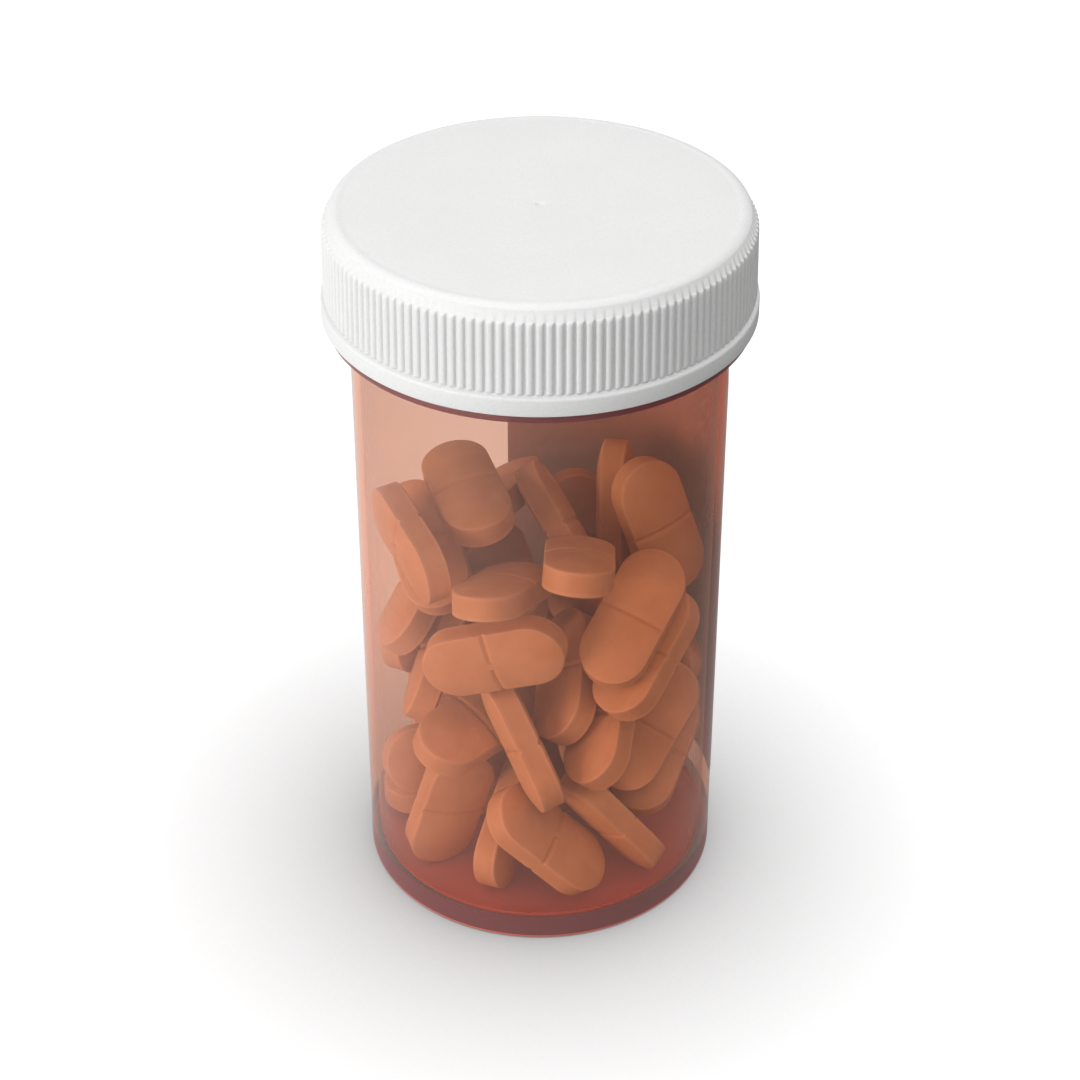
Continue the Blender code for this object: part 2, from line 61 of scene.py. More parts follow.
# --- surfaces ------------------------------------------------------------------------------
class Surface:
    """Points and polygons of one closed skin, put together from rings of points."""

    def __init__(self) -> None:
        """Start with no points and no polygons."""
        self.points: list[np.ndarray] = []
        self.faces: list[list[int]] = []
        self.marks: list[np.ndarray] = []
        self.count = 0

    def rings(self, radius: np.ndarray, height: np.ndarray) -> np.ndarray:
        """Add level rings about +Z: the point (r cos a, r sin a, z) for each ring and angle.

        Args:
            radius: one row per ring, one column per evenly spaced angle.
            height: z, in the same shape or one value per ring.

        Returns:
            The points' indices, in radius's shape.
        """
        rows, columns = radius.shape
        angle = 2 * np.pi * np.arange(columns) / columns
        height = np.broadcast_to(np.reshape(height, (rows, -1)), radius.shape)
        grid = np.stack([radius * np.cos(angle), radius * np.sin(angle), height], axis=-1)
        return self.grid(grid)

    def grid(self, grid: np.ndarray, mark: Optional[np.ndarray] = None) -> np.ndarray:
        """Add a grid of points.

        Args:
            grid: x, y, z along the last axis.
            mark: a 0 to 1 mark on each point, 0 where there is none.

        Returns:
            The points' indices, in the grid's shape.
        """
        flat = grid.reshape(-1, 3)
        index = np.arange(self.count, self.count + len(flat)).reshape(grid.shape[:-1])
        self.points.append(flat)
        self.marks.append(np.zeros(len(flat)) if mark is None else np.ravel(mark))
        self.count += len(flat)
        return index

    def pole(self, x: float, y: float, z: float) -> int:
        """Add one point and return its index."""
        return int(self.grid(np.array([[x, y, z]], float))[0])

    def quads(self, index: np.ndarray, closed: bool = True) -> None:
        """Join neighbouring rings of a grid with four-sided faces.

        Args:
            index: the grid's point indices, one row per ring.
            closed: whether each ring runs on from its last point to its first.
        """
        across = np.roll(index, -1, axis=1)
        if not closed:
            index, across = index[:, :-1], across[:, :-1]
        faces = np.stack([index[:-1], across[:-1], across[1:], index[1:]], axis=-1)
        self.faces.extend(faces.reshape(-1, 4).tolist())

    def fan(self, ring: np.ndarray, pole: int, turn: bool = False) -> None:
        """Close a ring onto one point with triangles.

        Args:
            ring: the ring's indices.
            pole: index of the point.
            turn: whether the faces point the other way.
        """
        tips = np.full(len(ring), pole)
        sides = (ring, np.roll(ring, -1))
        near, far = sides[::-1] if turn else sides
        self.faces.extend(np.column_stack([near, far, tips]).tolist())

    def step_down(self, fine: np.ndarray, coarse: np.ndarray) -> None:
        """Join a ring to one below it that has a whole fraction of its points.

        Args:
            fine: indices of the ring with more points.
            coarse: indices of the ring with fewer.
        """
        share = len(fine) // len(coarse)
        start = np.arange(len(coarse)) * share
        run = fine[(start[:, None] + np.arange(share, -1, -1)) % len(fine)]
        faces = np.column_stack([coarse, np.roll(coarse, -1), run])
        self.faces.extend(faces.tolist())

    def piece(self, name: str, finish: bpy.types.Material, sharp: float = 40.0,
              mark: Optional[str] = None) -> bpy.types.Object:
        """Make the object, smooth except where it turns by more than an angle.

        Args:
            name: the object's name.
            finish: its material.
            sharp: degrees past which an edge stays sharp.
            mark: name of the attribute that carries the points' marks.

        Returns:
            The new object, at the origin, with its place in its mesh.
        """
        mesh = bpy.data.meshes.new(name)
        mesh.from_pydata(np.concatenate(self.points), [], self.faces)
        mesh.validate()
        if mark is not None:
            layer = mesh.attributes.new(mark, "FLOAT", "POINT")
            layer.data.foreach_set("value", np.concatenate(self.marks).astype(np.float32))
        mesh.shade_smooth()
        mesh.set_sharp_from_angle(angle=math.radians(sharp))
        mesh.materials.append(finish)
        obj = bpy.data.objects.new(name, mesh)
        bpy.context.scene.collection.objects.link(obj)
        return obj


def arc(centre: tuple[float, float], radius: float, start: float, end: float,
        count: int) -> np.ndarray:
    """Points (r, z) of a circular arc in the section: centre + radius (cos a, sin a).

    Args:
        centre: (r, z) of the arc's centre.
        radius: its radius.
        start: first angle in degrees, 0 towards larger r.
        end: last angle in degrees.
        count: number of points.

    Returns:
        One row per point.
    """
    angle = np.radians(np.linspace(start, end, count))
    return np.column_stack([centre[0] + radius * np.cos(angle),
                            centre[1] + radius * np.sin(angle)])


def smooth(x: np.ndarray) -> np.ndarray:
    """Ease from 0 to 1: 3 x^2 - 2 x^3 with x held between 0 and 1."""
    x = np.clip(x, 0.0, 1.0)
    return x * x * (3 - 2 * x)


@dataclass(frozen=True)
class Thread:
    """A right-handed helical ridge, the same cross-section on the neck and in the cap."""

    pitch: float = 4.23 * MM
    height: float = 0.9 * MM
    crest: float = 0.8 * MM
    foot: float = 1.7 * MM

    def ridge(self, z: np.ndarray, first: float, turns: tuple[float, float],
              columns: int) -> np.ndarray:
        """Height of the ridge above its root at each level and angle.

        The way along the helix is azimuth plus whole turns, and its centre line climbs one
        pitch per turn. The height eases from crest to foot across each flank, and from 0 to 1
        over a tenth of a turn at both ends.

        Args:
            z: levels of the rings.
            first: level of the centre line at azimuth 0.
            turns: where the ridge starts and ends, in turns.
            columns: number of evenly spaced angles.

        Returns:
            One row per level, one column per angle.
        """
        azimuth = np.arange(columns)[None, :] / columns
        level = (np.asarray(z)[:, None] - first) / self.pitch
        along = azimuth + np.round(level - azimuth)
        off = np.abs(level - along) * self.pitch
        flank = smooth((self.foot / 2 - off) / ((self.foot - self.crest) / 2))
        ends = smooth(10 * np.minimum(along - turns[0], turns[1] - along))
        return self.height * flank * ends


# --- finishes ------------------------------------------------------------------------------
class Grain(Enum):
    """Kinds of surface pattern that a finish is made of."""

    CLOUD = "cloud"
    SPECK = "speck"
    FIBRE = "fibre"


class Nodes:
    """One material's node tree, with short calls for the nodes used here."""

    def __init__(self, name: str) -> None:
        """Start a material with only its output and a Principled shader."""
        self.material = bpy.data.materials.new(name)
        self.material.use_nodes = True
        self.tree = self.material.node_tree
        self.output = self.tree.nodes["Material Output"]
        self.shader = self.tree.nodes["Principled BSDF"]
        self.place = self.tree.nodes.new("ShaderNodeTexCoord").outputs["Object"]

    def new(self, kind: str, **values: float) -> bpy.types.Node:
        """Add a node and set its plain sockets.

        Args:
            kind: the node's type.
            values: numbers by socket name, with _ for a space.

        Returns:
            The new node.
        """
        node = self.tree.nodes.new(kind)
        for key, value in values.items():
            node.inputs[key.replace("_", " ")].default_value = value
        return node

    def join(self, source: Socket, target: Socket) -> None:
        """Link one socket to another."""
        self.tree.links.new(source, target)

    def pattern(self, grain: Grain, size: float, detail: float = 3.0) -> Socket:
        """A 0 to 1 pattern on the piece's own coordinates.

        Args:
            grain: which pattern.
            size: distance between its features in metres.
            detail: number of finer layers.

        Returns:
            The pattern's value socket.
        """
        source = self.place
        if grain is Grain.FIBRE:
            stretch = self.new("ShaderNodeMapping")
            stretch.inputs["Scale"].default_value = (1.0, 1.0, 0.22)
            self.join(source, stretch.inputs["Vector"])
            source = stretch.outputs["Vector"]
        if grain is Grain.SPECK:
            node = self.new("ShaderNodeTexVoronoi", Scale=1 / size)
            self.join(source, node.inputs["Vector"])
            return node.outputs["Distance"]
        node = self.new("ShaderNodeTexNoise", Scale=1 / size, Detail=detail, Roughness=0.55)
        self.join(source, node.inputs["Vector"])
        return node.outputs["Fac"]

    def spread(self, value: Socket, low: float, high: float,
               start: float = 0.3, end: float = 0.7) -> Socket:
        """Map a value in a straight line from one range onto another, held at the ends.

        Args:
            value: the value's socket.
            low: result at the start.
            high: result at the end.
            start: value that gives low.
            end: value that gives high.

        Returns:
            The result's socket.
        """
        node = self.new("ShaderNodeMapRange")
        for key, number in (("From Min", start), ("From Max", end),
                            ("To Min", low), ("To Max", high)):
            node.inputs[key].default_value = number
        self.join(value, node.inputs["Value"])
        return node.outputs["Result"]

    def blend(self, share: Socket, first: Union[Colour, Socket],
              second: Union[Colour, Socket]) -> Socket:
        """Mix two colours.

        Args:
            share: 0 for all of the first colour, 1 for all of the second.
            first: a plain colour or a socket.
            second: a plain colour or a socket.

        Returns:
            The mixed colour's socket.
        """
        node = self.tree.nodes.new("ShaderNodeMix")
        node.data_type = "RGBA"
        self.join(share, node.inputs[0])
        for socket, value in ((node.inputs[6], first), (node.inputs[7], second)):
            if isinstance(value, Socket):
                self.join(value, socket)
            else:
                socket.default_value = (*value, 1.0)
        return node.outputs[2]

    def bump(self, layers: Sequence[tuple[Socket, float]]) -> None:
        """Stack bumps onto the shader's normal.

        Args:
            layers: a height socket and a depth in metres for each bump.
        """
        normal = None
        for height, depth in layers:
            node = self.new("ShaderNodeBump", Distance=depth)
            self.join(height, node.inputs["Height"])
            if normal is not None:
                self.join(normal, node.inputs["Normal"])
            normal = node.outputs["Normal"]
        self.join(normal, self.shader.inputs["Normal"])

    def maths(self, operation: str, first: Socket, second: Union[float, Socket]) -> Socket:
        """Work out one operation.

        Args:
            operation: its name.
            first: the first value's socket.
            second: a number or a second socket.

        Returns:
            The result's socket.
        """
        node = self.tree.nodes.new("ShaderNodeMath")
        node.operation = operation
        self.join(first, node.inputs[0])
        if isinstance(second, Socket):
            self.join(second, node.inputs[1])
        else:
            node.inputs[1].default_value = second
        return node.outputs["Value"]

    def mark(self, name: str) -> Socket:
        """Read the value that the mesh carries.

        Args:
            name: the attribute's name.

        Returns:
            The value's socket.
        """
        node = self.new("ShaderNodeAttribute")
        node.attribute_name = name
        return node.outputs["Fac"]


@dataclass(frozen=True)
class AmberPlastic:
    """Clear amber moulded plastic: the walls take out blue and green, the skin is glossy.

    Light passes straight through the thin walls. Each skin takes its tint once, and the
    plastic between the skins takes out more with every millimetre of its depth. The share of
    gloss is the first shine value face on and eases to the second edge on, by a power. The
    thick foot is cloudier: on the inner floor and at the foot's lowest edge part of it shows
    the plastic's own deep red. Painted shade: higher up the outer foot band and on the support
    ring, that part is a dark red-brown, painted where little light comes through under the vial
    and under the cap. Light on its way to a lit surface is dimmed by the shade colour. The
    share steps hold a height in mm and the share there; the ring holds its middle height, half
    its thickness and its share.
    """

    skin: Colour = (0.915, 0.822, 0.780)
    streak: float = 0.985
    shade: Colour = (1.0, 0.84, 0.80)
    depth_tint: Colour = (1.0, 0.415, 0.0)
    depth_density: float = 95.0
    gloss: Colour = (0.97, 0.93, 0.91)
    mirror: float = 0.75
    roughness: tuple[float, float] = (0.26, 0.34)
    shine: tuple[float, float] = (0.05, 0.6)
    rim_power: float = 4.0
    flow: float = 9 * MM
    flow_depth: float = 0.005 * MM
    fine: float = 0.6 * MM
    fine_depth: float = 0.002 * MM
    thick: Colour = (0.96, 0.23, 0.17)
    cloudy: float = 0.9
    # Painted shade: a dark red-brown painted on the outer foot band and the support ring,
    # starting just above the foot's lowest edge.
    painted_shade: Colour = (0.23, 0.055, 0.06)
    painted_shade_z: float = 0.46 * MM
    foot_roughness: float = 0.32
    foot_top: float = 4.0
    foot_share: Steps = (
        (1.8, 0.0), (2.0, 0.55), (2.2, 0.55), (2.32, 0.85), (2.9, 0.85), (3.2, 0.0))
    foot_r: float = 19.9 * MM
    # On the outer foot this share is red at the lowest edge and painted shade above it; the
    # ring's share paints shade on the support ring.
    rim_share: Steps = (
        (0.34, 0.55), (0.42, 0.55), (0.50, 0.66), (3.22, 0.66), (3.5, 0.0))
    ring: tuple[float, float, float] = (72.05 * MM, 0.42 * MM, 0.7)

    def make(self, name: str) -> bpy.types.Material:
        """Build the material.

        Args:
            name: the material's name.

        Returns:
            The new material.
        """
        nodes = Nodes(name)
        shader = nodes.shader
        shader.inputs["Base Color"].default_value = (*self.gloss, 1.0)
        shader.inputs["Metallic"].default_value = self.mirror
        flow = nodes.pattern(Grain.CLOUD, self.flow, 4.0)
        fine = nodes.pattern(Grain.CLOUD, self.fine)
        nodes.join(nodes.spread(flow, *self.roughness), shader.inputs["Roughness"])
        nodes.bump([(flow, self.flow_depth), (fine, self.fine_depth)])
        through = nodes.new("ShaderNodeBsdfTransparent")
        streak = nodes.blend(nodes.spread(flow, 0.0, 1.0), self.skin,
                             tuple(self.streak * part for part in self.skin))
        ray = nodes.new("ShaderNodeLightPath").outputs
        lighting = nodes.maths("MAXIMUM", ray["Is Shadow Ray"], ray["Is Diffuse Ray"])
        nodes.join(nodes.blend(lighting, streak, self.shade), through.inputs["Color"])
        facing = nodes.new("ShaderNodeLayerWeight", Blend=0.5).outputs["Facing"]
        steep = nodes.maths("POWER", facing, self.rim_power)
        mix = nodes.tree.nodes.new("ShaderNodeMixShader")
        nodes.join(nodes.spread(steep, *self.shine, 0.0, 1.0), mix.inputs["Fac"])
        nodes.join(through.outputs["BSDF"], mix.inputs[1])
        nodes.join(shader.outputs["BSDF"], mix.inputs[2])
        deep = nodes.new("ShaderNodeBsdfPrincipled", Roughness=self.foot_roughness)
        share, dark = self.foot(nodes)
        red = nodes.blend(nodes.spread(flow, 0.0, 1.0), self.thick,
                          tuple(self.cloudy * part for part in self.thick))
        # Painted shade: where dark is 1 the deep part shows the painted shade colour, elsewhere
        # the plastic's red.
        nodes.join(nodes.blend(dark, red, self.painted_shade), deep.inputs["Base Color"])
        base = nodes.tree.nodes.new("ShaderNodeMixShader")
        nodes.join(share, base.inputs["Fac"])
        nodes.join(mix.outputs["Shader"], base.inputs[1])
        nodes.join(deep.outputs["BSDF"], base.inputs[2])
        nodes.join(base.outputs["Shader"], nodes.output.inputs["Surface"])
        inside = nodes.new("ShaderNodeVolumeAbsorption", Density=self.depth_density)
        inside.inputs["Color"].default_value = (*self.depth_tint, 1.0)
        nodes.join(inside.outputs["Volume"], nodes.output.inputs["Volume"])
        return nodes.material

    def foot(self, nodes: Nodes) -> tuple[Socket, Socket]:
        """Share of the deep colour by place: on the inner floor, the outer foot and the ring.

        Args:
            nodes: the material's nodes.

        Returns:
            The share's value, and 1 on the outside above the foot's lowest edge, where the deep
            part takes the painted shade colour.
        """
        split = nodes.new("ShaderNodeSeparateXYZ")
        nodes.join(nodes.place, split.inputs["Vector"])
        z = split.outputs["Z"]
        flat = nodes.new("ShaderNodeVectorMath")
        flat.operation = "MULTIPLY"
        flat.inputs[1].default_value = (1.0, 1.0, 0.0)
        nodes.join(nodes.place, flat.inputs[0])
        length = nodes.new("ShaderNodeVectorMath")
        length.operation = "LENGTH"
        nodes.join(flat.outputs["Vector"], length.inputs[0])
        outer = nodes.maths("GREATER_THAN", length.outputs["Value"], self.foot_r)
        inner = nodes.maths("LESS_THAN", length.outputs["Value"], self.foot_r)
        middle, half, amount = self.ring
        ring = nodes.maths("COMPARE", z, middle)
        ring.node.inputs[2].default_value = half
        band = nodes.maths("ADD", self.ramp(nodes, z, self.rim_share),
                           nodes.maths("MULTIPLY", ring, amount))
        share = nodes.maths("ADD", nodes.maths("MULTIPLY", inner,
                                               self.ramp(nodes, z, self.foot_share)),
                            nodes.maths("MULTIPLY", outer, band))
        # Painted shade: 1 on the outside above the foot's lowest edge.
        dark = nodes.maths("MULTIPLY", outer, nodes.maths("GREATER_THAN", z, self.painted_shade_z))
        return share, dark

    def ramp(self, nodes: Nodes, z: Socket, steps: Steps) -> Socket:
        """A value along the foot's height, straight from each step to the next.

        Args:
            nodes: the material's nodes.
            z: the height's socket.
            steps: height in mm and value, lowest first.

        Returns:
            The value's socket.
        """
        node = nodes.tree.nodes.new("ShaderNodeValToRGB")
        stops = node.color_ramp.elements
        first, last = steps[0][1], steps[-1][1]
        stops[0].position, stops[1].position = 0.0, 1.0
        stops[0].color, stops[1].color = (first,) * 3 + (1.0,), (last,) * 3 + (1.0,)
        for place, share in steps:
            stops.new(place / self.foot_top).color = (share, share, share, 1.0)
        nodes.join(nodes.maths("MULTIPLY", z, 1 / (self.foot_top * MM)), node.inputs["Fac"])
        return node.outputs["Color"]


@dataclass(frozen=True)
class MouldedPlastic:
    """Opaque moulded plastic with a fine satin grain and faint clouds of colour.

    The pit is the share of the dark colour that the grain's low spots take, and the pit range
    is the part of the grain's pattern that counts as low.
    """

    light: Colour
    dark: Colour
    roughness: tuple[float, float] = (0.36, 0.50)
    grain: float = 0.34 * MM
    depth: float = 0.028 * MM
    pit: float = 0.972
    pit_range: tuple[float, float] = (0.32, 0.56)
    cloud: float = 7 * MM
    cloud_depth: float = 0.02 * MM

    def make(self, name: str) -> bpy.types.Material:
        """Build the material.

        Args:
            name: the material's name.

        Returns:
            The new material.
        """
        nodes = Nodes(name)
        cloud = nodes.pattern(Grain.CLOUD, self.cloud, 4.0)
        fine = nodes.pattern(Grain.CLOUD, self.grain, 4.0)
        colour = nodes.blend(nodes.spread(cloud, 0.0, 1.0), self.light, self.dark)
        pit = tuple(self.pit * part for part in self.dark)
        colour = nodes.blend(nodes.spread(fine, 1.0, 0.0, *self.pit_range), colour, pit)
        nodes.join(colour, nodes.shader.inputs["Base Color"])
        nodes.join(nodes.spread(fine, *self.roughness), nodes.shader.inputs["Roughness"])
        nodes.bump([(cloud, self.cloud_depth), (fine, self.depth)])
        return nodes.material


@dataclass(frozen=True)
class Paper:
    """Plain uncoated paper: long faint fibres, soft tooth, and a share of light let through."""

    light: Colour = (0.90, 0.90, 0.885)
    dark: Colour = (0.82, 0.815, 0.79)
    roughness: tuple[float, float] = (0.72, 0.86)
    fibre: float = 0.25 * MM
    fibre_depth: float = 0.012 * MM
    cloud: float = 4 * MM
    cloud_depth: float = 0.03 * MM
    through: float = 0.35

    def make(self, name: str) -> bpy.types.Material:
        """Build the material.

        Args:
            name: the material's name.

        Returns:
            The new material.
        """
        nodes = Nodes(name)
        fibre = nodes.pattern(Grain.FIBRE, self.fibre, 5.0)
        cloud = nodes.pattern(Grain.CLOUD, self.cloud)
        colour = nodes.blend(nodes.spread(fibre, 0.0, 0.8), self.light, self.dark)
        nodes.join(colour, nodes.shader.inputs["Base Color"])
        nodes.join(nodes.spread(cloud, *self.roughness), nodes.shader.inputs["Roughness"])
        nodes.bump([(cloud, self.cloud_depth), (fibre, self.fibre_depth)])
        through = nodes.new("ShaderNodeBsdfTranslucent")
        nodes.join(colour, through.inputs["Color"])
        mix = nodes.new("ShaderNodeMixShader", Fac=self.through)
        nodes.join(nodes.shader.outputs["BSDF"], mix.inputs[1])
        nodes.join(through.outputs["BSDF"], mix.inputs[2])
        nodes.join(mix.outputs["Shader"], nodes.output.inputs["Surface"])
        return nodes.material


@dataclass(frozen=True)
class FilmCoat:
    """Dry film coat of a tablet: powdery speckle, paler rubbed edges, dusty score line.

    The depths are the bumps' in the order cloud, speck, tooth.
    """

    body: Colour = (0.745, 0.480, 0.250)
    deep: Colour = (0.655, 0.385, 0.172)
    rubbed: Colour = (0.82, 0.595, 0.39)
    roughness: tuple[float, float] = (0.50, 0.68)
    cloud: float = 3.5 * MM
    speck: float = 0.32 * MM
    tooth: float = 0.20 * MM
    depths: tuple[float, float, float] = (0.03 * MM, 0.008 * MM, 0.014 * MM)
    wear: float = 0.35

    def make(self, name: str, mark: str) -> bpy.types.Material:
        """Build the material.

        Args:
            name: the material's name.
            mark: name of the mesh attribute that is 1 along the worn edges.

        Returns:
            The new material.
        """
        nodes = Nodes(name)
        cloud = nodes.pattern(Grain.CLOUD, self.cloud, 5.0)
        speck = nodes.pattern(Grain.SPECK, self.speck)
        tooth = nodes.pattern(Grain.CLOUD, self.tooth, 4.0)
        colour = nodes.blend(nodes.spread(cloud, 0.0, 1.0), self.body, self.deep)
        colour = nodes.blend(nodes.spread(speck, 0.35, 0.0, 0.05, 0.35), colour, self.deep)
        wear = nodes.spread(nodes.mark(mark), 0.0, self.wear, 0.3, 1.0)
        colour = nodes.blend(wear, colour, self.rubbed)
        nodes.join(colour, nodes.shader.inputs["Base Color"])
        nodes.join(nodes.spread(tooth, *self.roughness), nodes.shader.inputs["Roughness"])
        nodes.bump(list(zip((cloud, speck, tooth), self.depths)))
        return nodes.material


# --- pieces --------------------------------------------------------------------------------
@dataclass
class VialBody:
    """The one-piece amber moulding: foot, floor, straight wall, support ring, threaded neck.

    The wall and bore levels are in mm. The bore ease holds, in mm, how much wider than the
    mouth the bore is and how far below the support ring's upper face, from the neck down.
    """

    node: str = "vial_body"
    wall_r: float = 20.5 * MM
    bore_r: float = 19.55 * MM
    foot_round: float = 0.4 * MM
    floor_z: float = 2.1 * MM
    floor_round: float = 0.8 * MM
    wall_levels: tuple[float, ...] = (8, 20, 32, 44, 56, 66)
    bore_levels: tuple[float, ...] = (60, 48, 36, 24, 12)
    ring_z: tuple[float, float] = (71.7 * MM, 72.45 * MM)
    ring_fillet: float = 0.35 * MM
    ring_round: float = 0.12 * MM
    neck_r: float = 19.9 * MM
    neck_fillet: float = 0.3 * MM
    neck_rings: int = 64
    neck_margin: float = 0.5 * MM
    mouth_r: float = 18.6 * MM
    bore_ease: Steps = ((0.0, 0.0), (0.2, 0.7), (0.83, 1.5), (0.95, 2.4))
    mouth_round: float = 0.3 * MM
    thread_z: float = 75.2 * MM
    thread_turns: tuple[float, float] = (0.0, 1.25)
    thread: Thread = Thread()
    columns: int = 216
    finish: AmberPlastic = AmberPlastic()

    def build(self) -> bpy.types.Object:
        """Build the body as one closed skin, dress it and hang it on its node's place.

        Returns:
            The finished piece.
        """
        low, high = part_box(self.node)
        rim, ring_r = high.z, high.x
        lower, upper = self.ring_z
        foot, fillet, soft = self.foot_round, self.ring_fillet, self.ring_round
        outside = np.concatenate([
            [(self.wall_r * 0.5, 0.0), (self.wall_r - 2 * MM, 0.0)],
            arc((self.wall_r - foot, foot), foot, -90, 0, 6),
            [(self.wall_r, z * MM) for z in self.wall_levels],
            arc((self.wall_r + fillet, lower - fillet), fillet, 180, 90, 5),
            arc((ring_r - soft, lower + soft), soft, -90, 0, 4),
            arc((ring_r - soft, upper - soft), soft, 0, 90, 4),
            arc((self.neck_r + self.neck_fillet, upper + self.neck_fillet),
                self.neck_fillet, -90, -180, 4),
        ])
        levels = np.linspace(upper + self.neck_margin, rim - self.neck_margin,
                             self.neck_rings)
        ridge = self.thread.ridge(levels, self.thread_z, self.thread_turns, self.columns)
        corner, edge = self.floor_round, self.mouth_round
        inside = np.concatenate([
            arc((self.neck_r - edge, rim - edge), edge, 0, 90, 4),
            arc((self.mouth_r + edge, rim - edge), edge, 90, 180, 4),
            [(self.mouth_r + out * MM, upper - down * MM) for out, down in self.bore_ease],
            [(self.bore_r, z * MM) for z in self.bore_levels],
            arc((self.bore_r - corner, self.floor_z + corner), corner, 0, -90, 8),
            [(self.bore_r * 0.5, self.floor_z)],
        ])
        radius = np.concatenate([
            np.repeat(outside[:, :1], self.columns, axis=1),
            self.neck_r + ridge,
            np.repeat(inside[:, :1], self.columns, axis=1),
        ])
        height = np.concatenate([outside[:, 1], levels, inside[:, 1]])
        skin = Surface()
        index = skin.rings(radius, height)
        skin.quads(index)
        skin.fan(index[0], skin.pole(0, 0, low.z), turn=True)
        skin.fan(index[-1], skin.pole(0, 0, self.floor_z))
        piece = skin.piece("amber_body", self.finish.make("amber_plastic"), sharp=50)
        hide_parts(self.node)
        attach(piece, "vial")
        return piece


@dataclass
class ScrewCap:
    """The white cap: top with gate mark and rim line, rounded shoulder, ribs, band, thread.

    The cover holds radius and depth below the top in mm: the gate mark, the flat top and the
    shallow rim line. The rib steps are the distances in mm from a rib's end at which its
    domed end has a ring of points.
    """

    node: str = "cap_shell"
    cover: Steps = (
        (0.12, 0.20), (0.34, 0.17), (0.46, 0.01), (0.60, 0.0), (2.0, 0.0), (8.0, 0.0),
        (15.0, 0.0), (20.3, 0.0), (20.6, 0.03), (20.9, 0.03))
    shoulder: float = 1.5 * MM
    side_r: tuple[float, float] = (22.66 * MM, 22.84 * MM)
    grip_z: tuple[float, float] = (83.10 * MM, 74.98 * MM)
    rib_height: float = 0.29 * MM
    rib_half: float = 0.37
    rib_flat: float = 2.6
    rib_steps: tuple[float, ...] = (0.0, 0.02, 0.05, 0.10, 0.18, 0.28, 0.42)
    rib_count: int = 144
    samples: int = 10
    flare_top: float = 74.8 * MM
    flare_round: float = 0.35 * MM
    lip_round: float = 0.15 * MM
    wall: float = 1.2 * MM
    inner_r: float = 21.15 * MM
    inner_rings: int = 52
    roof_gap: float = 0.25 * MM
    roof_bevel: float = 0.3 * MM
    thread_z: float = 73.085 * MM
    thread_turns: tuple[float, float] = (0.5, 1.6)
    thread: Thread = Thread()
    inner_columns: int = 180
    finish: MouldedPlastic = MouldedPlastic(
        light=(0.735, 0.735, 0.732), dark=(0.715, 0.715, 0.711))

    def grip(self, levels: np.ndarray) -> np.ndarray:
        """How far the ribs stand out of the side wall, at each level and angle.

        Across one rib the height is sqrt(1 - (x / half)^flat) out to the rib's half width and
        0 between ribs; along it the height rises as a quarter circle to the last rib step.

        Args:
            levels: heights of the rings.

        Returns:
            Height in metres, one row per level.
        """
        columns = self.rib_count * self.samples
        phase = (np.arange(columns) / self.samples + 0.5) % 1.0 - 0.5
        across = np.sqrt(1 - np.minimum(np.abs(phase) / self.rib_half, 1.0) ** self.rib_flat)
        top, bottom = self.grip_z
        rise = self.rib_steps[-1] * MM
        into = np.clip(np.minimum(top - levels, levels - bottom) / rise, 0.0, 1.0)
        along = np.sqrt(1 - (1 - into) ** 2)
        return self.rib_height * along[:, None] * across[None, :]

    def build(self) -> bpy.types.Object:
        """Build the cap as one closed skin, dress it and let it ride on the cap's body.

        Returns:
            The finished piece.
        """
        low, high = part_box(self.node)
        top, bottom, flare = high.z, low.z, high.x
        columns = self.rib_count * self.samples
        turn = self.shoulder
        cover = np.concatenate([
            [(r * MM, top - depth * MM) for r, depth in self.cover],
            arc((self.side_r[0] - turn, top - turn), turn, 90, 44, 8),
        ])
        upper, lower = self.grip_z
        ease = np.array(self.rib_steps) * MM
        levels = np.concatenate([upper - ease, np.linspace(upper, lower, 6)[1:-1],
                                 lower + ease[::-1]])
        share = (upper - levels) / (upper - lower)
        rise = np.clip(levels - (top - turn), 0.0, turn)
        side = (self.side_r[0] + share * (self.side_r[1] - self.side_r[0])
                - turn + np.sqrt(turn ** 2 - rise ** 2))
        large, small = self.flare_round, self.lip_round
        band = np.concatenate([
            arc((flare - large, self.flare_top - large), large, 90, 0, 7),
            arc((flare - small, bottom + small), small, 0, -90, 4),
        ])
        radius = np.concatenate([
            np.repeat(cover[:, :1], columns, axis=1),
            side[:, None] + self.grip(levels),
            np.repeat(band[:, :1], columns, axis=1),
        ])
        height = np.concatenate([cover[:, 1], levels, band[:, 1]])
        skin = Surface()
        outer = skin.rings(radius, height)
        skin.quads(outer[::-1])
        skin.fan(outer[0], skin.pole(0, 0, top - self.cover[0][1] * MM))
        inner = self.inside(skin, flare - self.wall, bottom)
        skin.step_down(outer[-1], inner[0])
        piece = skin.piece("screw_cap", self.finish.make("white_plastic"), sharp=60)
        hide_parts(self.node)
        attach(piece, "cap")
        return piece

    def inside(self, skin: Surface, mouth_r: float, bottom: float) -> np.ndarray:
        """Add the cap's inner wall with its thread, up to the closed roof.

        Args:
            skin: the surface to add to.
            mouth_r: radius of the opening.
            bottom: height of the cap's lower edge.

        Returns:
            Indices of the inner rings, lowest first.
        """
        liner_low, liner_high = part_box("cap_liner")
        roof = liner_high.z + self.roof_gap
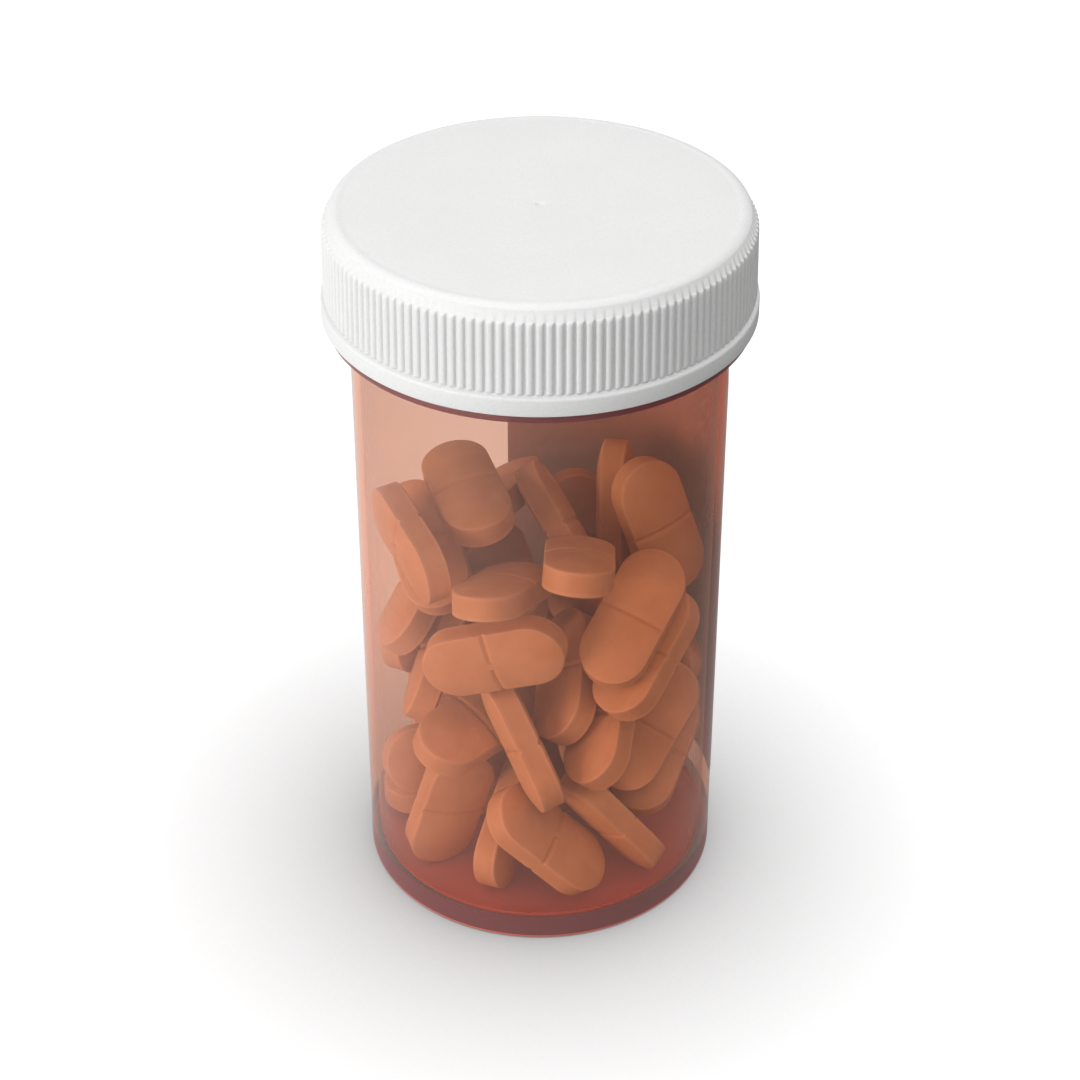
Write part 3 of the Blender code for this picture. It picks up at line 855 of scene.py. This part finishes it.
        # The opening leads in from the band's wall to the thread's root.
        start = np.array([(mouth_r, bottom), (mouth_r - 0.1 * MM, bottom + 0.9 * MM),
                          (self.inner_r, bottom + 1.6 * MM)])
        levels = np.linspace(bottom + 1.75 * MM, liner_low.z - 0.5 * MM,
                             self.inner_rings)
        ridge = self.thread.ridge(levels, self.thread_z, self.thread_turns, self.inner_columns)
        bevel = self.roof_bevel
        end = np.array([(self.inner_r, roof - bevel), (self.inner_r - bevel, roof),
                        (self.inner_r * 0.5, roof)])
        radius = np.concatenate([
            np.repeat(start[:, :1], self.inner_columns, axis=1),
            self.inner_r - ridge,
            np.repeat(end[:, :1], self.inner_columns, axis=1),
        ])
        inner = skin.rings(radius, np.concatenate([start[:, 1], levels, end[:, 1]]))
        skin.quads(inner[::-1])
        skin.fan(inner[-1], skin.pole(0, 0, roof), turn=True)
        return inner


@dataclass
class SealingDisc:
    """The foam disc in the cap's roof, with the ring that the mouth's rim has pressed in it."""

    node: str = "cap_liner"
    dent_r: float = 19.25 * MM
    dent_half: float = 0.8 * MM
    dent: float = 0.08 * MM
    rings: int = 40
    columns: int = 180
    finish: MouldedPlastic = MouldedPlastic(
        light=(0.86, 0.85, 0.82), dark=(0.80, 0.79, 0.75), roughness=(0.75, 0.9),
        grain=0.35 * MM, depth=0.04 * MM)

    def build(self) -> bpy.types.Object:
        """Build the disc: level faces, rounded edge, and a dent eased across the rim's width.

        Returns:
            The finished piece.
        """
        low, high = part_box(self.node)
        edge = (high.z - low.z) / 2
        reach = np.linspace(1 * MM, high.x - edge, self.rings)
        dent = self.dent * smooth(1.5 * (1 - np.abs(reach - self.dent_r) / self.dent_half))
        under = np.column_stack([reach, low.z + dent])
        rim = arc((high.x - edge, low.z + edge), edge, -90, 90, 8)[1:]
        over = np.array([(high.x * 0.6, high.z), (high.x * 0.2, high.z)])
        section = np.concatenate([under, rim, over])
        skin = Surface()
        index = skin.rings(np.repeat(section[:, :1], self.columns, axis=1), section[:, 1])
        skin.quads(index)
        skin.fan(index[0], skin.pole(0, 0, low.z), turn=True)
        skin.fan(index[-1], skin.pole(0, 0, high.z))
        piece = skin.piece("sealing_disc", self.finish.make("pulp_foam"), sharp=50)
        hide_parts(self.node)
        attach(piece, "liner")
        return piece


@dataclass
class PaperLabel:
    """The blank label round the back of the wall, with rounded corners.

    The azimuths are in degrees from +X, and the steps count points across and up the sheet.
    """

    node: str = "label"
    inner_r: float = 20.56 * MM
    thickness: float = 0.13 * MM
    azimuth: tuple[float, float] = (2.0, 100.8)
    corner: float = 1.6 * MM
    steps: tuple[int, int] = (121, 41)
    finish: Paper = Paper()

    def build(self) -> bpy.types.Object:
        """Build the label as a closed sheet.

        Across its width the sheet's lower and upper ends draw in by
        corner - sqrt(corner^2 - (corner - d)^2), with d the distance from the side edge.

        Returns:
            The finished piece.
        """
        low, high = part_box(self.node)
        turn = np.radians(np.linspace(*self.azimuth, self.steps[0]))
        arm = self.inner_r * np.minimum(turn - turn[0], turn[-1] - turn)
        near = np.clip(self.corner - arm, 0.0, self.corner)
        draw = self.corner - np.sqrt(self.corner ** 2 - near ** 2)
        level = np.linspace(0.0, 1.0, self.steps[1])
        z = (low.z + draw)[None, :] + level[:, None] * (high.z - low.z - 2 * draw)[None, :]
        skin = Surface()
        sides = []
        for radius in (self.inner_r, self.inner_r + self.thickness):
            grid = np.stack([radius * np.cos(turn) + 0 * z, radius * np.sin(turn) + 0 * z, z],
                            axis=-1)
            sides.append(skin.grid(grid))
        inner, outer = sides
        skin.quads(inner[::-1], closed=False)
        skin.quads(outer, closed=False)
        loop = [np.concatenate([side[0], side[1:, -1], side[-1, -2::-1], side[-2:0:-1, 0]])
                for side in sides]
        skin.quads(np.array(loop))
        piece = skin.piece("paper_label", self.finish.make("label_stock"), sharp=35)
        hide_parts(self.node)
        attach(piece, "vial")
        return piece


@dataclass
class Tablets:
    """The heap of scored, capsule-shaped tablets, one piece for each node.

    Insets are the crown's rings and belts the band's, as shares of the half width and of the
    half band. End and side steps count the outline's points on each round end and each side,
    and crowding draws the side's points in to the score line. The lip drop lowers the rings
    past the lip's inset, which rounds the edge between band and crown.
    """

    prefix: str = "tablet_"
    length: float = 16.5 * MM
    width: float = 7.8 * MM
    band: float = 2.7 * MM
    dome: float = 0.7 * MM
    edge: float = 0.09 * MM
    score_half: float = 0.42 * MM
    score_depth: float = 0.26 * MM
    insets: tuple[float, ...] = (0.985, 0.955, 0.9, 0.82, 0.7, 0.56, 0.4, 0.24, 0.1)
    belts: tuple[float, ...] = (-0.87, -0.5, 0.0, 0.5, 0.87)
    lip: float = 0.97
    lip_drop: float = 0.03 * MM
    end_steps: int = 19
    side_steps: int = 27
    crowding: float = 1.7
    finish: FilmCoat = FilmCoat()

    def outline(self) -> tuple[np.ndarray, np.ndarray]:
        """Go once round the stadium outline.

        Returns:
            The nearest point of the middle line, and the outward direction, for each step.
        """
        half = (self.length - self.width) / 2
        turn = np.linspace(-np.pi / 2, np.pi / 2, self.end_steps)
        end = np.column_stack([np.cos(turn), np.sin(turn)])
        even = np.linspace(1, -1, self.side_steps + 2)[1:-1]
        along = half * np.sign(even) * np.abs(even) ** self.crowding
        head = np.full(self.end_steps, half)
        spine = np.concatenate([head, along, -head, -along])
        side = np.zeros((len(along), 2))
        side[:, 1] = 1.0
        outward = np.concatenate([end, side, -end, -side])
        return np.column_stack([spine, np.zeros(len(spine))]), outward

    def shape(self) -> tuple[np.ndarray, np.ndarray]:
        """One tablet about its own centre.

        A ring at inset t lies at middle line + t * half width * outward. Its height is half
        the band plus dome (1 - t^2), less the score line's depth, which is a cosine across x.

        Returns:
            Rings of points from the lower face's middle to the upper's, and their marks.
        """
        spine, outward = self.outline()
        reach, half = self.width / 2, self.band / 2
        crown = [(1.0, half - self.edge)]
        crown += [(t, half + self.dome * (1 - t * t) - self.lip_drop * (t > self.lip))
                  for t in self.insets]
        middle = [(1.0, z * half) for z in self.belts]
        rings = [(t, -z) for t, z in crown[::-1]] + middle + crown
        grid, marks = [], []
        for t, z in rings:
            on_face = abs(z) > half * 0.6
            flat = spine + t * reach * outward
            score = np.clip(1 - np.abs(flat[:, 0]) / self.score_half, 0.0, 1.0)
            dip = self.score_depth * (0.5 - 0.5 * np.cos(np.pi * score)) * on_face
            grid.append(np.column_stack([flat, z - np.sign(z) * dip]))
            worn = np.exp(-((t - 1.0) / 0.05) ** 2) * on_face
            marks.append(np.maximum(np.full(len(flat), worn), 0.25 * score * (t < 1)))
        return np.array(grid), np.array(marks)

    def place(self, node: str) -> tuple[np.ndarray, np.ndarray]:
        """Where a node's tablet lies, from the spread of its points.

        Args:
            node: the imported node's name.

        Returns:
            Its centre and its axes as rows: long, side, face normal.
        """
        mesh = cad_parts[node].data
        flat = np.empty(3 * len(mesh.vertices))
        mesh.vertices.foreach_get("co", flat)
        points = np.unique(np.round(flat.reshape(-1, 3), 7), axis=0)
        centre = (points.max(axis=0) + points.min(axis=0)) / 2
        ways = np.linalg.eigh(np.cov((points - centre).T))[1]
        long_axis, normal = ways[:, 2], ways[:, 0]
        return centre, np.array([long_axis, np.cross(normal, long_axis), normal])

    def build(self) -> list[bpy.types.Object]:
        """Build every tablet at its node's place.

        Returns:
            The finished pieces.
        """
        grid, marks = self.shape()
        finish = self.finish.make("film_coat", "worn")
        pieces = []
        for node in sorted(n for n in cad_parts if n.startswith(self.prefix)):
            centre, axes = self.place(node)
            skin = Surface()
            index = skin.grid(grid @ axes + centre, marks)
            skin.quads(index)
            self.close(skin, index[0][::-1])
            self.close(skin, index[-1])
            piece = skin.piece(node.replace("tablet", "scored_tablet"), finish, 34, "worn")
            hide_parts(node)
            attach(piece, "vial")
            pieces.append(piece)
        return pieces

    def close(self, skin: Surface, ring: np.ndarray) -> None:
        """Close the narrow last ring of a face by joining its two long sides across.

        Args:
            skin: the surface to add to.
            ring: the ring's indices, anticlockwise seen from outside.
        """
        one, two = np.split(ring, 2)
        skin.faces.extend([one[:self.end_steps].tolist(), two[:self.end_steps].tolist()])
        last = self.end_steps - 1
        side = np.concatenate([one[last:], two[:1]])
        other = np.concatenate([two[last:], one[:1]])[::-1]
        faces = np.stack([side[:-1], side[1:], other[1:], other[:-1]], axis=-1)
        skin.faces.extend(faces.tolist())


# --- studio --------------------------------------------------------------------------------
@dataclass
class Studio:
    """White floor, soft lamps and the camera.

    The floor shows plain white with a painted contact shadow near the object, and throws more
    light back onto the object's left side than its right, as a reflector card laid on the left
    would. Each lamp has a name, a place, its two side lengths in metres and its power in watts.
    """

    eye: tuple[float, float, float] = (0.0, -0.2427, 0.2070)
    target: tuple[float, float, float] = (0.0, 0.0, 0.0421)
    lens: float = 85.98
    floor_half: float = 3.0
    floor_drop: float = 0.02 * MM
    floor_cloud: float = 30 * MM
    floor_roughness: float = 0.85
    paint: Colour = (0.955, 0.955, 0.955)
    pale: float = 0.995
    bounce: tuple[float, float] = (0.90, 0.15)
    bounce_x: tuple[float, float] = (-0.08, 0.08)
    lit_share: float = 0.3
    glow: float = 0.84
    # Painted contact shadow: the ambient occlusion's reach, its power, and the darkest share of
    # the paint.
    shade_reach: float = 0.040
    shade_power: float = 1.55
    shade_low: float = 0.15
    sky: float = 0.55
    lamps: tuple[tuple[str, tuple[float, float, float], tuple[float, float], float], ...] = (
        ("key_left", (-0.81, -0.58, 0.21), (0.55, 0.45), 5.1),
        ("top_soft", (0.0, -0.05, 1.20), (1.80, 1.80), 13.4),
    )
    off_floor: tuple[str, ...] = ("key_left",)

    def floor(self) -> None:
        """Lay the plain pale floor, with a painted contact shadow: its paint and glow darken
        where ambient occlusion finds the object near.
        """
        skin = Surface()
        side = np.linspace(-self.floor_half, self.floor_half, 3)
        x, y = np.meshgrid(side, side)
        skin.quads(skin.grid(np.stack([x, y, 0 * x - self.floor_drop], axis=-1)), closed=False)
        nodes = Nodes("floor_paint")
        shader = nodes.shader
        shader.inputs["Roughness"].default_value = self.floor_roughness
        # Painted shadow: ambient occlusion darkens both the floor's paint and its glow towards
        # the dark shade colour.
        shade = nodes.new("ShaderNodeAmbientOcclusion", Distance=self.shade_reach)
        shade.samples = 16
        depth = nodes.maths("POWER", shade.outputs["AO"], self.shade_power)
        dark = tuple(self.shade_low * part for part in self.paint)
        cloud = nodes.pattern(Grain.CLOUD, self.floor_cloud)
        pale = tuple(self.pale * part for part in self.paint)
        paint = nodes.blend(nodes.spread(cloud, 0.0, 1.0), self.paint, pale)
        paint = nodes.blend(depth, dark, paint)
        lit = nodes.new("ShaderNodeVectorMath")
        lit.operation = "SCALE"
        lit.inputs["Scale"].default_value = self.lit_share
        nodes.join(paint, lit.inputs[0])
        nodes.join(lit.outputs["Vector"], shader.inputs["Base Color"])
        nodes.join(paint, shader.inputs["Emission Color"])
        shader.inputs["Emission Strength"].default_value = self.glow
        dull = nodes.new("ShaderNodeBsdfDiffuse")
        split = nodes.new("ShaderNodeSeparateXYZ")
        nodes.join(nodes.place, split.inputs["Vector"])
        nodes.join(nodes.spread(split.outputs["X"], *self.bounce, *self.bounce_x),
                   dull.inputs["Color"])
        mix = nodes.tree.nodes.new("ShaderNodeMixShader")
        ray = nodes.new("ShaderNodeLightPath").outputs["Is Camera Ray"]
        nodes.join(ray, mix.inputs["Fac"])
        nodes.join(dull.outputs["BSDF"], mix.inputs[1])
        nodes.join(shader.outputs["BSDF"], mix.inputs[2])
        nodes.join(mix.outputs["Shader"], nodes.output.inputs["Surface"])
        skin.piece("studio_floor", nodes.material)

    def light(self) -> None:
        """Hang the lamps and set the even sky."""
        world = bpy.data.worlds.new("studio_sky")
        bpy.context.scene.world = world
        world.use_nodes = True
        sky = world.node_tree.nodes["Background"]
        sky.inputs["Color"].default_value = (1.0, 1.0, 1.0, 1.0)
        sky.inputs["Strength"].default_value = self.sky
        for name, place, size, power in self.lamps:
            lamp = bpy.data.lights.new(name, "AREA")
            lamp.shape = "RECTANGLE"
            lamp.size, lamp.size_y = size
            lamp.energy = power
            obj = bpy.data.objects.new(name, lamp)
            obj.location = place
            obj.rotation_euler = self.look(place)
            bpy.context.scene.collection.objects.link(obj)
            if name in self.off_floor:
                self.flag(obj)

    def flag(self, lamp: bpy.types.Object) -> None:
        """Keep a lamp's light off the floor, as a studio flag does.

        Args:
            lamp: the lamp's object.
        """
        shut_out = bpy.data.collections.new(lamp.name + "_flag")
        shut_out.objects.link(bpy.data.objects["studio_floor"])
        lamp.light_linking.receiver_collection = shut_out
        shut_out.collection_objects[0].light_linking.link_state = "EXCLUDE"

    def look(self, place: Sequence[float]) -> Euler:
        """Rotation that points an object's -Z axis from a place at the target."""
        way = Vector(self.target) - Vector(place)
        return way.to_track_quat("-Z", "Y").to_euler()

    def camera(self) -> None:
        """Set the camera and plain white-true colours."""
        data = bpy.data.cameras.new("camera")
        data.lens = self.lens
        data.sensor_width = 36.0
        data.clip_start = 0.01
        camera = bpy.data.objects.new("camera", data)
        camera.location = self.eye
        camera.rotation_euler = self.look(self.eye)
        bpy.context.scene.collection.objects.link(camera)
        bpy.context.scene.camera = camera
        bpy.context.scene.view_settings.view_transform = "Standard"


def main() -> None:
    """Build every piece in order and report each one."""
    logging.basicConfig(level=logging.INFO, format="%(name)s: %(message)s")
    studio = Studio()
    studio.camera()
    studio.floor()
    studio.light()
    for part in (VialBody(), ScrewCap(), SealingDisc(), PaperLabel()):
        piece = part.build()
        LOG.info("%s: %d faces", piece.name, len(piece.data.polygons))
    tablets = Tablets().build()
    LOG.info("%d tablets of %d faces", len(tablets), len(tablets[0].data.polygons))


if __name__ == "__main__":
    main()
